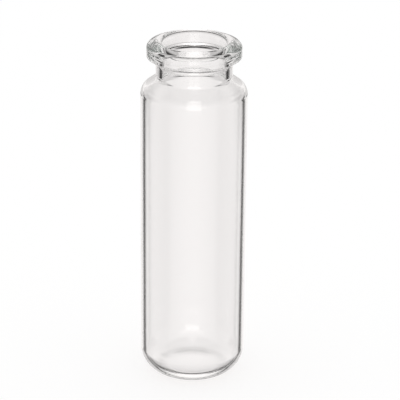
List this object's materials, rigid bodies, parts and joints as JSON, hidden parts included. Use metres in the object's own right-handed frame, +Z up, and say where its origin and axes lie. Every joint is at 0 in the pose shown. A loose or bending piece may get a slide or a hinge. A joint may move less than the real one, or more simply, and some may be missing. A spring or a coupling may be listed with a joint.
{
  "type": "glass sample vial",
  "caption": "Clear glass sample vial: a straight round body with a flat pushed-up base, a rounded shoulder and a short neck with a bevelled crimp flange, open at the top.",
  "frame": {"origin": "middle of the circle that the vial stands on, on the vial's axis", "axes": "+Z up along the vial's axis, from the base to the mouth; the vial is round, so X and Y are alike"},
  "size_m": [0.0225, 0.0224, 0.0755],
  "materials": {
    "clear_glass": "clear, flame-polished borosilicate glass"
  },
  "bodies": {
    "root": {"vial": "clear_glass"}
  },
  "joints": []
}
